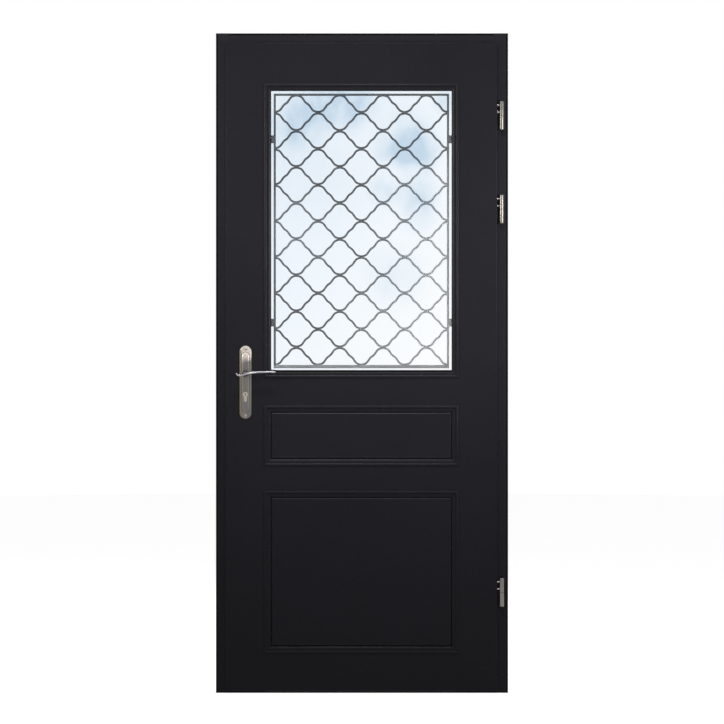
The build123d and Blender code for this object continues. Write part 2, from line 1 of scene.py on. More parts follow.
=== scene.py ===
# %% [markdown]
# # A glazed wooden front door
# The solids of the door, its frame and its fittings come ready made and stay where they are.
# This lesson gives every one of them a finish, and models what a maker would shape more finely
# by hand: the mouldings, the raised panels, the wave grille, the levers, the hinge barrels and
# the screws. Everything is in metres, +Z is up, and the inside of the house is on the -Y side.

# %% Load the solids
import math
import bpy
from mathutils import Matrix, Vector


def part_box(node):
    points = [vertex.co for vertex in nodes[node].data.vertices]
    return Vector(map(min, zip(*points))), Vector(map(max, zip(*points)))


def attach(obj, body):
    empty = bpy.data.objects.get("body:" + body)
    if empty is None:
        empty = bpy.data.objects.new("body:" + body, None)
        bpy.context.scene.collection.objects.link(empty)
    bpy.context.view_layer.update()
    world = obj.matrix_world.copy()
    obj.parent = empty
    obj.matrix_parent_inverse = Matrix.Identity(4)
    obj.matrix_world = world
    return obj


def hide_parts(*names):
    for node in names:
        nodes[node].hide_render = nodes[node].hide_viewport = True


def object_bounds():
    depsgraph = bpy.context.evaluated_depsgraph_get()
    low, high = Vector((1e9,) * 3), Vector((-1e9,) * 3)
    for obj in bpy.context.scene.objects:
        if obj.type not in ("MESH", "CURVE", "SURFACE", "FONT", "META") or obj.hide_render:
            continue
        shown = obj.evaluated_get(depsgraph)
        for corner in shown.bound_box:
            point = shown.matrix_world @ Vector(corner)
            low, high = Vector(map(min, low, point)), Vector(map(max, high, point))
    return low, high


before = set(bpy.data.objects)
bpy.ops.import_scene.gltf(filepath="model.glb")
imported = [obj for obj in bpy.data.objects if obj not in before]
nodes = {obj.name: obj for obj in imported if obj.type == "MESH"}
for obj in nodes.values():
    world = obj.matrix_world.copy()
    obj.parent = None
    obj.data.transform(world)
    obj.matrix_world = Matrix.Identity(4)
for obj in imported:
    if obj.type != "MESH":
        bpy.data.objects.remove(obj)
cad_low, cad_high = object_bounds()
print("solids:", len(nodes), "from", cad_low[:], "to", cad_high[:])

# %% [markdown]
# ## Small helpers
# Blender's operators act on whatever is selected, so each step first clears the selection and
# then picks faces, edges or corners by where they are. These few helpers do only that.

# %% Selecting by place
def clear_selection():
    if bpy.context.object and bpy.context.object.mode != "OBJECT":
        bpy.ops.object.mode_set(mode="OBJECT")
    bpy.ops.object.select_all(action="DESELECT")


def pick_faces(piece, wanted):
    """Opens edit mode on piece with only the faces selected for which wanted(centre, normal) is true."""
    bpy.ops.object.mode_set(mode="EDIT")
    bpy.ops.mesh.select_mode(type="FACE")
    bpy.ops.mesh.select_all(action="DESELECT")
    bpy.ops.object.mode_set(mode="OBJECT")
    for face in piece.data.polygons:
        face.select = bool(wanted(face.center, face.normal))
    bpy.ops.object.mode_set(mode="EDIT")


def pick_edges(piece, wanted):
    """Opens edit mode on piece with only the edges selected for which wanted(first, second) is true."""
    bpy.ops.object.mode_set(mode="EDIT")
    bpy.ops.mesh.select_mode(type="EDGE")
    bpy.ops.mesh.select_all(action="DESELECT")
    bpy.ops.object.mode_set(mode="OBJECT")
    corners = piece.data.vertices
    for edge in piece.data.edges:
        edge.select = bool(wanted(corners[edge.vertices[0]].co, corners[edge.vertices[1]].co))
    bpy.ops.object.mode_set(mode="EDIT")


# %% Naming and closing a piece
def settle(piece, name):
    """Ends the modelling of a piece: its place goes into its mesh, and its faces point outwards."""
    bpy.ops.object.mode_set(mode="OBJECT")
    bpy.ops.object.transform_apply(location=True, rotation=True, scale=True)
    bpy.ops.object.mode_set(mode="EDIT")
    bpy.ops.mesh.select_all(action="SELECT")
    bpy.ops.mesh.normals_make_consistent(inside=False)
    bpy.ops.object.mode_set(mode="OBJECT")
    piece.name = name
    piece.data.name = name
    return piece


def apply_modifier(piece, kind, **settings):
    """Adds one modifier, sets it and applies it at once."""
    bpy.context.view_layer.objects.active = piece
    modifier = piece.modifiers.new(kind.lower(), kind)
    for key, value in settings.items():
        setattr(modifier, key, value)
    bpy.ops.object.modifier_apply(modifier=modifier.name)


# %% Opening, blocks and joining
def open_whole():
    """Opens edit mode on the active piece with all its faces selected."""
    bpy.ops.object.mode_set(mode="EDIT")
    bpy.ops.mesh.select_mode(type="FACE")
    bpy.ops.mesh.select_all(action="SELECT")


def block(centre, size, turn=(0, 0, 0)):
    """A cube pulled to size and turned about its centre."""
    clear_selection()
    bpy.ops.mesh.primitive_cube_add(size=1.0, location=centre, rotation=turn)
    piece = bpy.context.object
    piece.scale = size
    bpy.ops.object.transform_apply(location=True, rotation=True, scale=True)
    return piece


def join_to(piece, parts):
    """Joins the parts to piece."""
    clear_selection()
    for part in [piece, *parts]:
        part.select_set(True)
    bpy.context.view_layer.objects.active = piece
    bpy.ops.object.join()


# %% [markdown]
# ## Finishes
# Each finish is a small tree of nodes on Object coordinates, so its pattern has a real size and
# stays put on the piece. Constant values are set on the shader itself.

# %% Node helpers
def new_finish(name, **sockets):
    """A material with one Principled shader, whose plain values are given by name."""
    finish = bpy.data.materials.new(name)
    finish.use_nodes = True
    shader = finish.node_tree.nodes["Principled BSDF"]
    for socket, value in sockets.items():
        shader.inputs[socket.replace("_", " ")].default_value = value
    return finish, finish.node_tree, shader


def pattern(tree, scale, detail=4.0, rough=0.55, distort=0.0):
    """Noise on Object coordinates, scaled along each axis in lumps per metre."""
    place = tree.nodes.new("ShaderNodeTexCoord")
    stretch = tree.nodes.new("ShaderNodeMapping")
    stretch.inputs["Scale"].default_value = scale
    noise = tree.nodes.new("ShaderNodeTexNoise")
    noise.inputs["Scale"].default_value = 1.0
    noise.inputs["Detail"].default_value = detail
    noise.inputs["Roughness"].default_value = rough
    noise.inputs["Distortion"].default_value = distort
    tree.links.new(place.outputs["Object"], stretch.inputs["Vector"])
    tree.links.new(stretch.outputs["Vector"], noise.inputs["Vector"])
    return noise.outputs["Fac"]


def ramp(tree, source, *stops):
    """Turns a value into a colour through stops of (place, colour)."""
    node = tree.nodes.new("ShaderNodeValToRGB")
    band = node.color_ramp
    while len(band.elements) < len(stops):
        band.elements.new(0.5)
    for element, (place, colour) in zip(band.elements, stops):
        element.position = place
        element.color = (*colour, 1.0)
    tree.links.new(source, node.inputs["Fac"])
    return node.outputs["Color"]


def spread(tree, source, low, high, from_low=0.3, from_high=0.7):
    """Maps a value from one range to another, and holds it inside."""
    node = tree.nodes.new("ShaderNodeMapRange")
    node.inputs["From Min"].default_value = from_low
    node.inputs["From Max"].default_value = from_high
    node.inputs["To Min"].default_value = low
    node.inputs["To Max"].default_value = high
    tree.links.new(source, node.inputs["Value"])
    return node.outputs["Result"]


def combine(tree, operation, first, second):
    """One step of arithmetic on two values, each a socket or a number."""
    node = tree.nodes.new("ShaderNodeMath")
    node.operation = operation
    for socket, value in zip(node.inputs, (first, second)):
        if isinstance(value, (int, float)):
            socket.default_value = value
        else:
            tree.links.new(value, socket)
    return node.outputs[0]


def place_parts(tree):
    """The X, Y and Z of Object coordinates."""
    place = tree.nodes.new("ShaderNodeTexCoord")
    split = tree.nodes.new("ShaderNodeSeparateXYZ")
    tree.links.new(place.outputs["Object"], split.inputs["Vector"])
    return split.outputs["X"], split.outputs["Y"], split.outputs["Z"]


def soft_spots(tree, spots):
    """Sum of round soft spots on the face of the door, each (x, z, reach, depth)."""
    x, _, z = place_parts(tree)
    total = 0.0
    for spot_x, spot_z, reach, depth in spots:
        across = combine(tree, "POWER", combine(tree, "SUBTRACT", x, spot_x), 2.0)
        up = combine(tree, "POWER", combine(tree, "SUBTRACT", z, spot_z), 2.0)
        away = combine(tree, "SQRT", combine(tree, "ADD", across, up), 0.0)
        spot = spread(tree, away, depth, 0.0, 0.0, reach)
        spot.node.interpolation_type = "SMOOTHSTEP"
        total = combine(tree, "ADD", total, spot)
    return total


def blend(tree, amount, first, second):
    """Mixes two colours, each a socket or plain numbers."""
    node = tree.nodes.new("ShaderNodeMix")
    node.data_type = "RGBA"
    tree.links.new(amount, node.inputs["Factor"])
    for socket, value in ((node.inputs["A"], first), (node.inputs["B"], second)):
        if isinstance(value, tuple):
            socket.default_value = (*value, 1.0)
        else:
            tree.links.new(value, socket)
    return node.outputs["Result"]


def recolour(finish, amount, colour):
    """Blends the colour that a finish has so far to another one."""
    tree = finish.node_tree
    base = tree.nodes["Principled BSDF"].inputs["Base Color"]
    tree.links.new(blend(tree, amount, base.links[0].from_socket, colour), base)


def bump(tree, shader, source, height, under=None):
    """Raises the surface by source, whose full range is height metres."""
    node = tree.nodes.new("ShaderNodeBump")
    node.inputs["Strength"].default_value = 1.0
    node.inputs["Distance"].default_value = height
    tree.links.new(source, node.inputs["Height"])
    if under is not None:
        tree.links.new(under, node.inputs["Normal"])
    tree.links.new(node.outputs["Normal"], shader.inputs["Normal"])
    return node.outputs["Normal"]


# %% [markdown]
# ### Satin paint on wood
# The door is sprayed and brushed in a dark, slightly bluish grey. Up close such paint shows the
# grain as faint long furrows, a soft orange peel, and dull and shiny areas from wiping. Stiles
# have their grain upright and rails have it level, so one recipe makes both. Towards the foot of
# the door the colour is a little darker, a painted shade where less light reaches.

# %% Painted wood
def painted_wood(name, along, light_lift=1.0):
    finish, tree, shader = new_finish(name, Specular_IOR_Level=0.07)
    scale = [260.0, 260.0, 260.0]
    scale["xyz".index(along)] = 7.0
    grain = pattern(tree, scale, detail=3.0, rough=0.6, distort=0.4)
    cloud = pattern(tree, (3.0, 3.0, 2.2), detail=3.0)
    low = [c * light_lift for c in (0.0164, 0.0158, 0.0196)]
    high = [c * light_lift for c in (0.0196, 0.0189, 0.0240)]
    # Painted shade: the colour darkens towards the foot of the door.
    foot = spread(tree, place_parts(tree)[2], 0.45, 0.0, 0.05, 0.85)
    paint = blend(tree, foot, ramp(tree, cloud, (0.3, low), (0.7, high)), (0.0086, 0.0077, 0.0118))
    tree.links.new(paint, shader.inputs["Base Color"])
    wiped = pattern(tree, (9.0, 9.0, 5.0), detail=5.0, rough=0.6)
    tree.links.new(spread(tree, wiped, 0.24, 0.30), shader.inputs["Roughness"])
    peel = pattern(tree, (420.0, 420.0, 420.0), detail=1.0)
    under = bump(tree, shader, grain, 0.00012)
    bump(tree, shader, peel, 0.00004, under)
    return finish


paint_upright = painted_wood("paint_grain_upright", "z")
paint_level = painted_wood("paint_grain_level", "x")
print("paint:", paint_upright.name, paint_level.name)

# %% [markdown]
# ### Paint on the frame
# The frame wears the same paint, painted a quarter lighter to make up for the shade of the leaf in
# front of it. Its outermost few millimetres are painted almost black, a painted shade where it meets
# the wall, which draws a thin dark line round the whole door.

# %% Painted frame
def frame_paint_with_edge_shade(name, along, reach):
    # light_lift makes this copy of the paint lighter, a painted light against the shade of the leaf.
    finish = painted_wood(name, along, light_lift=1.26)
    tree = finish.node_tree
    x, _, z = place_parts(tree)
    away = combine(tree, "ABSOLUTE", x if along == "z" else z, 0.0)
    # Painted shade: the outermost few millimetres of the frame turn almost black.
    recolour(finish, spread(tree, away, 0.0, 1.0, reach - 0.0066, reach - 0.0060), (0.0006, 0.0006, 0.0007))
    return finish


frame_wide, frame_tall = cad_high.x, cad_high.z
jamb_paint = frame_paint_with_edge_shade("frame_paint_jamb", "z", frame_wide)
head_paint = frame_paint_with_edge_shade("frame_paint_head", "x", frame_tall)
print("frame paint reaches", round(frame_wide, 4), round(frame_tall, 4))

# %% [markdown]
# ### Satin nickel
# Plates, levers and hinges are brushed along their length and plated. The brushing is a noise
# pulled out along Z: it tilts the surface a little and changes how rough it is, and a slow cloud
# turns the plating from cool to warm. The upper end of the plate's field, its right rim there, the
# top of the sheet and the part of the lever next to the plate are painted lighter: painted
# highlights. The plate's left edge is painted warm brown: painted shade.

# %% Satin nickel
def satin_nickel(name, cool, warm, rough, along="z"):
    finish, tree, shader = new_finish(name, Metallic=1.0)
    scale = [2600.0, 2600.0, 2600.0]
    scale["xyz".index(along)] = 22.0
    brushing = pattern(tree, scale, detail=2.0, rough=0.7)
    cloud = pattern(tree, (70.0, 70.0, 16.0), detail=2.0)
    tree.links.new(ramp(tree, cloud, (0.35, cool), (0.65, warm)), shader.inputs["Base Color"])
    tree.links.new(spread(tree, brushing, rough - 0.07, rough + 0.09), shader.inputs["Roughness"])
    bump(tree, shader, brushing, 0.00003)
    return finish


# %% Nickel of the plates, with painted shade at the left edge and painted highlights up top
plate_nickel = satin_nickel("plate_nickel", (0.135, 0.134, 0.132), (0.170, 0.155, 0.135), 0.36)
tree = plate_nickel.node_tree
x, _, z = place_parts(tree)
spindle_low, spindle_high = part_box("spindle")
spindle_x = (spindle_low.x + spindle_high.x) / 2
spindle_z = (spindle_low.z + spindle_high.z) / 2
# Painted highlights: the upper end of the field, its right rim and the top of the sheet are lighter.
highlight_height = combine(tree, "ADD", z, spread(tree, pattern(tree, (60.0, 60.0, 25.0)), -0.004, 0.004))
off_centre = combine(tree, "SUBTRACT", x, spindle_x)
on_field = spread(tree, combine(tree, "ABSOLUTE", off_centre, 0.0), 1.0, 0.12, 0.0126, 0.0136)
rising = spread(tree, highlight_height, 0.0, 0.9, spindle_z + 0.034, spindle_z + 0.056)
painted_highlight = combine(tree, "MULTIPLY", on_field, rising)
painted_highlight = combine(tree, "MULTIPLY", painted_highlight, spread(tree, off_centre, 0.55, 1.0, -0.012, 0.004))
painted_highlight = combine(tree, "MAXIMUM", painted_highlight, spread(tree, z, 0.0, 0.55, spindle_z + 0.075, spindle_z + 0.080))
glint = combine(tree, "MULTIPLY", spread(tree, off_centre, 0.0, 1.0, 0.0128, 0.0138),
                spread(tree, z, 0.0, 1.0, spindle_z + 0.036, spindle_z + 0.060))
painted_highlight = combine(tree, "MAXIMUM", painted_highlight, glint)
# Painted shade: the left edge of the plate turns warm brown.
left_edge_shade = spread(tree, off_centre, 0.75, 0.0, -0.0160, -0.0135)
recolour(plate_nickel, left_edge_shade, (0.160, 0.120, 0.085))
recolour(plate_nickel, painted_highlight, (0.62, 0.57, 0.51))
print("spindle at", round(spindle_x, 4), round(spindle_z, 4))

# %% Nickel of the levers and hinges, and a dull nickel for painted shade
shade_nickel = satin_nickel("shade_nickel", (0.17, 0.17, 0.15), (0.22, 0.21, 0.18), 0.4, "x")
lever_nickel = satin_nickel("lever_nickel", (0.29, 0.285, 0.32), (0.33, 0.315, 0.33), 0.24, "x")
tree = lever_nickel.node_tree
# Painted highlight: the lever is lighter next to the plate.
off_centre = combine(tree, "SUBTRACT", place_parts(tree)[0], spindle_x + 0.021)
painted_highlight = spread(tree, combine(tree, "ABSOLUTE", off_centre, 0.0), 1.0, 0.0, 0.002, 0.020)
recolour(lever_nickel, painted_highlight, (0.62, 0.60, 0.62))
barrel_nickel = satin_nickel("barrel_nickel", (0.145, 0.138, 0.130), (0.200, 0.182, 0.165), 0.28)
stud_steel = satin_nickel("stud_steel", (0.36, 0.355, 0.35), (0.44, 0.43, 0.41), 0.2, "x")
print("metals:", plate_nickel.name, lever_nickel.name, barrel_nickel.name, stud_steel.name)

# %% [markdown]
# ### Aluminium, iron, brass, rubber
# The glass spacer is plain aluminium with fine lines along X, and the threshold is the same but
# almost black, a painted shade under the leaf. The grille is wrought bar under dull dark paint with
# small runs; at the lower right and along the foot it is painted pale, a painted light. The key
# cylinder is plated brass, and the seal is matt rubber with a powdery bloom.

# %% The smaller finishes
mill_aluminium = satin_nickel("mill_aluminium", (0.40, 0.41, 0.40), (0.46, 0.46, 0.44), 0.42, "x")
# The threshold's near-black colour is a painted shade under the leaf.
shaded_aluminium = satin_nickel("shaded_aluminium", (0.0045, 0.0044, 0.005), (0.007, 0.0066, 0.007), 0.45, "x")
cylinder_brass = satin_nickel("cylinder_brass", (0.36, 0.33, 0.30), (0.46, 0.42, 0.37), 0.26)
screw_nickel = satin_nickel("screw_nickel", (0.30, 0.28, 0.26), (0.36, 0.34, 0.31), 0.3, "x")
plain_steel = satin_nickel("plain_steel", (0.45, 0.45, 0.46), (0.50, 0.49, 0.48), 0.36, "y")

grille_paint, tree, shader = new_finish("grille_paint", Specular_IOR_Level=0.12)
hammered = pattern(tree, (240.0, 240.0, 240.0), detail=5.0)
worn = pattern(tree, (26.0, 26.0, 26.0), detail=4.0)
dark = ramp(tree, worn, (0.35, (0.010, 0.011, 0.013)), (0.72, (0.024, 0.025, 0.028)))
# The pale places and the pale foot are painted light, mixed with a little random tone.
painted_light_places = [(0.30, 1.20, 0.50, 1.0), (-0.22, 1.52, 0.22, 0.40), (0.28, 1.60, 0.34, 0.80)]
painted_light = combine(tree, "ADD", soft_spots(tree, painted_light_places), spread(tree, worn, -0.08, 0.08))
foot_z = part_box("grille")[0].z
painted_light_foot = spread(tree, place_parts(tree)[2], 0.85, 0.0, foot_z + 0.010, foot_z + 0.016)
painted_light = combine(tree, "MAXIMUM", painted_light, painted_light_foot)
tree.links.new(blend(tree, painted_light, dark, (0.78, 0.78, 0.78)), shader.inputs["Base Color"])
tree.links.new(spread(tree, hammered, 0.38, 0.58), shader.inputs["Roughness"])
bump(tree, shader, hammered, 0.00015)

seal_rubber, tree, shader = new_finish("seal_rubber", Specular_IOR_Level=0.06)
bloom = pattern(tree, (60.0, 60.0, 20.0), detail=5.0)
tree.links.new(ramp(tree, bloom, (0.35, (0.0025, 0.0025, 0.0026)), (0.75, (0.0075, 0.0075, 0.0072))),
               shader.inputs["Base Color"])
tree.links.new(spread(tree, bloom, 0.62, 0.8), shader.inputs["Roughness"])
bump(tree, shader, pattern(tree, (900.0, 900.0, 900.0), detail=2.0), 0.00005)

# A dark finish for screw slots and keyways: painted shade inside them.
slot_shade, tree, shader = new_finish("slot_shadow", Metallic=0.3)
tree.links.new(ramp(tree, pattern(tree, (900.0, 900.0, 900.0)), (0.3, (0.01, 0.009, 0.008)),
                    (0.7, (0.03, 0.026, 0.022))), shader.inputs["Base Color"])
tree.links.new(spread(tree, pattern(tree, (500.0, 500.0, 500.0)), 0.5, 0.8), shader.inputs["Roughness"])
print("small finishes:", mill_aluminium.name, grille_paint.name, seal_rubber.name)

# %% [markdown]
# ### Clear glass with a cast of blue
# The pane is ordinary float glass: clear, smooth and slightly blue. Towards its top a few soft,
# broad blue spots are painted into its colour, a painted reflection of the sky, and towards its
# lower right corner it is painted paler, a painted light. The tint is kept in the glass, so that it
# stays the same from every side.

# %% Glass
def pane_glass(name):
    finish, tree, shader = new_finish(name, Roughness=0.0, Transmission_Weight=1.0, IOR=1.45)
    x, _, z = place_parts(tree)
    painted_light_slant = combine(tree, "SUBTRACT", combine(tree, "MULTIPLY", x, 0.75), combine(tree, "MULTIPLY", z, 0.55))
    body = ramp(tree, spread(tree, painted_light_slant, 0.0, 1.0, -1.30, -0.42), (0.0, (0.890, 0.932, 0.974)),
                (0.5, (0.930, 0.960, 0.988)), (1.0, (0.985, 0.994, 1.0)))
    cloud = pattern(tree, (20.0, 0.0, 12.0), detail=2.0, rough=0.45)
    # The blue spots are a painted reflection of the sky; the slant gives the painted paler light.
    spots = soft_spots(tree, [
        (-0.133, 1.965, 0.11, 0.60), (-0.056, 1.945, 0.12, 0.85), (-0.193, 1.905, 0.13, 0.75),
        (-0.256, 1.860, 0.15, 0.40), (0.010, 1.970, 0.11, 0.35), (0.180, 1.800, 0.11, 1.0),
        (0.083, 1.800, 0.08, 0.45), (0.150, 1.850, 0.14, 0.40), (0.077, 1.669, 0.08, 0.45),
        (0.186, 1.660, 0.10, 0.55), (0.186, 1.590, 0.10, 0.30), (0.110, 1.380, 0.15, 0.25),
        (-0.150, 1.700, 0.25, 0.15), (0.275, 1.965, 0.06, 0.5), (0.176, 1.790, 0.05, 0.6)])
    painted_sky_reflection = combine(tree, "MULTIPLY", spots, spread(tree, cloud, 0.55, 1.35))
    tree.links.new(blend(tree, painted_sky_reflection, body, (0.735, 0.826, 0.905)), shader.inputs["Base Color"])
    bump(tree, shader, pattern(tree, (3.0, 3.0, 2.0), detail=1.0), 0.0001)
    return finish


glass = pane_glass("pane_glass")
print("glass:", glass.name)

# %% [markdown]
# ## Dressing the solids
# Every solid gets its finish here, also the ones that a finer piece will hide later. The first
# word of the list that is in its name decides.

# %% Finish of each solid
def dress(piece, finish):
    piece.data.materials.clear()
    piece.data.materials.append(finish)


finish_by_word = [
    ("moulding", paint_upright), ("lower_panel", paint_upright), ("stile", paint_upright),
    ("jamb", jamb_paint), ("frame_head", head_paint), ("rail", paint_level),
    ("weather_bar", paint_level), ("small_panel", paint_level), ("plate", plate_nickel),
    ("lock_bolts", plate_nickel), ("lever", lever_nickel), ("half", barrel_nickel), ("pane", glass),
    ("threshold", shaded_aluminium), ("glass_spacer", mill_aluminium), ("grille", grille_paint),
    ("frame_seal", seal_rubber), ("lock_cylinder", cylinder_brass), ("spindle", plain_steel)]
for name, solid in nodes.items():
    dress(solid, next(finish for word, finish in finish_by_word if word in name))
print("dressed", len(nodes))

# %% [markdown]
# ## Mouldings
# A moulding is a strip with a bead, a sharp quirk and a hollow slope, mitred at the corners.
# Inset does all of that in one go: each inset of a rectangle, with its own width and its own
# depth, adds one facet of the section and keeps the corners mitred. Starting from the back of
# the strip and ending at the rebate, the section below is walked as (step inwards, step out).

# %% Moulding sections
bead = [(0.0016, 0.00079), (0.0016, 0.00079), (0.0010, 0.0002), (0.0010, -0.0002),
        (0.0014, -0.0008), (0.0014, -0.0008)]
ogee = [(0.0042, -0.0002), (0.0030, -0.0012), (0.0030, -0.0014), (0.0020, -0.0014)]
inside_section = bead + [(0.0004, -0.0034), (0.0006, -0.0002)] + ogee + [(0.0002, -0.0028)]
outside_section = [(0.0006, 0.0006), (0.0014, 0.0010), (0.0050, 0.0001), (0.0010, -0.0004), (0.0140, -0.0110)]
proud, edge_rise = 0.006, 0.0037  # how far a moulding stands out of the leaf, at most and at its outer edge
print("moulding runs", round(sum(s[0] for s in inside_section), 4), "m in from its outer edge")


# %% Walking a section round an opening
def start_face(low, high, y, outward):
    """A rectangle from low to high in X and Z at depth y, facing out of the door."""
    clear_selection()
    middle = ((low.x + high.x) / 2, y, (low.z + high.z) / 2)
    bpy.ops.mesh.primitive_plane_add(size=1.0, location=middle, rotation=(-outward * math.pi / 2, 0, 0))
    piece = bpy.context.object
    piece.scale = (high.x - low.x, high.z - low.z, 1.0)
    bpy.ops.object.transform_apply(location=True, rotation=True, scale=True)
    open_whole()
    return piece


def walk_section(steps):
    for inwards, out in steps:
        bpy.ops.mesh.inset(thickness=inwards, depth=out, use_even_offset=True)


def bridge_rims(piece):
    """Closes the gap between the two open rims of a piece."""
    pick_edges(piece, lambda a, b: False)
    bpy.ops.mesh.select_non_manifold(extend=False, use_boundary=True)
    bpy.ops.mesh.bridge_edge_loops()


# %% Mouldings
def moulding(name, section, outward):
    low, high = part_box(name)
    face_y = (low.y + proud) if outward < 0 else (high.y - proud)
    seat_y = high.y if outward < 0 else low.y
    piece = start_face(low, high, face_y, outward)
    bpy.ops.mesh.extrude_region_move(TRANSFORM_OT_translate={"value": (0, outward * edge_rise, 0)})
    walk_section(section)
    bpy.ops.object.mode_set(mode="OBJECT")
    reached = [face.center.y for face in piece.data.polygons if face.select][0]
    bpy.ops.object.mode_set(mode="EDIT")
    bpy.ops.mesh.extrude_region_move(TRANSFORM_OT_translate={"value": (0, seat_y - reached, 0)})
    bpy.ops.mesh.delete(type="FACE")
    middle = Vector(((low.x + high.x) / 2, face_y, (low.z + high.z) / 2))
    pick_faces(piece, lambda centre, normal: (centre - middle).length < 0.001)
    bpy.ops.mesh.delete(type="FACE")
    bridge_rims(piece)
    settle(piece, name + "_run")
    bpy.ops.object.shade_smooth_by_angle(angle=math.radians(22))
    dress(piece, paint_level)
    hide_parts(name)
    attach(piece, "leaf")
    return piece


for opening in ("glass", "small_panel", "lower_panel"):
    inside = moulding(opening + "_inside_moulding", inside_section, -1)
    outside = moulding(opening + "_outside_moulding", outside_section, 1)
    print(inside.name, len(inside.data.polygons), "faces,", outside.name, len(outside.data.polygons))

# %% [markdown]
# A thin rubber gasket shows between the glass and the inside moulding. It is a ring left by one
# inset, a little higher at the foot, where a thicker strip laps over the moulding's inner end.

# %% Glazing gasket
seal_in, seal_wide, seal_thick, seal_foot = 0.0200, 0.0027, 0.0006, 0.0024


def gasket(name, y):
    """The ring: seal_in from the moulding's outer edge, seal_wide, and seal_foot wider at the foot."""
    low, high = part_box("glass_inside_moulding")
    under = Vector((seal_in, 0, seal_in))
    piece = start_face(low + under, high - under, y, -1)
    bpy.ops.mesh.inset(thickness=seal_wide, depth=0.0)
    open_low, open_high = low.z + seal_in + seal_wide, high.z - seal_in - seal_wide
    share = 1 - seal_foot / (open_high - open_low)
    bpy.ops.transform.resize(value=(1, 1, share), center_override=(0, y, open_high))
    bpy.ops.mesh.delete(type="FACE")
    bpy.ops.mesh.select_all(action="SELECT")
    bpy.ops.mesh.extrude_region_move(TRANSFORM_OT_translate={"value": (0, -seal_thick, 0)})
    settle(piece, name)
    return piece


def foot_strip(name, y):
    """The strip: from over the moulding's inner end up to the top of the ring's foot."""
    low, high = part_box("glass_inside_moulding")
    strip_low, strip_high = low + Vector((0.0216, 0, 0.0184)), Vector((high.x - 0.0216, 0, low.z + 0.0251))
    piece = start_face(strip_low, strip_high, y, -1)
    bpy.ops.mesh.extrude_region_move(TRANSFORM_OT_translate={"value": (0, low.y + 0.0081 - y, 0)})
    settle(piece, name)
    apply_modifier(piece, "BEVEL", width=0.0008, segments=2,
                   limit_method="ANGLE", angle_limit=math.radians(60))
    return piece


pane_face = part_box("inner_pane")[0].y + 0.0001
for made in (gasket("inside_gasket", pane_face), foot_strip("foot_strip", pane_face)):
    dress(made, seal_rubber)
    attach(made, "leaf")
    print(made.name, [round(x * 1000, 1) for x in made.dimensions], "mm")

# %% [markdown]
# ## Raised panels
# A raised panel is thin at its rim, where it sits behind the mouldings, and rises through a sharp
# step and a slope to a flat field. The same walk with inset makes it, once on each face, and the
# two faces are then bridged at the rim.

# %% Panels
panel_rise = 0.009
panel_section = [(0.0122, 0.0), (0.0003, 0.0022), (0.0010, 0.0014), (0.0022, 0.0012), (0.0022, 0.0012),
                 (0.0022, 0.0012), (0.0010, 0.0004), (0.0010, 0.0001), (0.0010, -0.0006), (0.0012, -0.0002)]


def raised_panel(name, finish):
    low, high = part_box(name)
    halves = []
    for outward, y in ((-1, low.y + panel_rise), (1, high.y - panel_rise)):
        half = start_face(low, high, y, outward)
        walk_section(panel_section)
        bpy.ops.object.mode_set(mode="OBJECT")
        halves.append(half)
    piece = halves[0]
    join_to(piece, halves[1:])
    bridge_rims(piece)
    settle(piece, name + "_board")
    bpy.ops.object.shade_smooth_by_angle(angle=math.radians(30))
    dress(piece, finish)
    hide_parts(name)
    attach(piece, "leaf")
    return piece


for name, finish in (("small_panel", paint_level), ("lower_panel", paint_upright)):
    board = raised_panel(name, finish)
    print(board.name, "is", [round(x * 1000, 1) for x in board.dimensions], "mm")

# %% [markdown]
# ## The wave grille
# Fifteen flat bars are bent to the same wave and welded crest to trough, so that every second
# one is upside down. One bar starts as a short strip on edge. Its leading edge is extruded along
# the wave step by step, and Solidify then gives the strip its thickness square to the bend,
# which keeps the bar equally thick on the crests and on the flanks.

# %% The shape of one wave
grille_low, grille_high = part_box("grille")
bar_thick, border_thick = 0.0067, 0.0070
# The lowest troughs stand a little over the foot, where the border's bar is wider than elsewhere.
trough_rise, foot_extra = 0.0063, 0.0038
bar_left, bar_right = grille_low.x + bar_thick / 2, grille_high.x - bar_thick / 2
bar_foot, bar_top = grille_low.z + trough_rise + bar_thick / 2, grille_high.z - bar_thick / 2
strand_count, periods, steps_per_wave = 15, 4, 36
pitch = (bar_top - bar_foot) / strand_count
swing = (pitch - bar_thick + 0.0018) / 2


def wave_rise(turn):
    """Height of the wave, from 1 to -1: broad crests and a small shoulder half way down."""
    wave = (math.cos(turn) + 0.019 * math.cos(3 * turn)
            - 0.056 * math.cos(5 * turn) + 0.026 * math.cos(7 * turn))
    return wave / 0.989


print("wave", round((bar_right - bar_left) / periods * 1000, 1), "mm long,",
      round(swing * 2000, 1), "mm high")


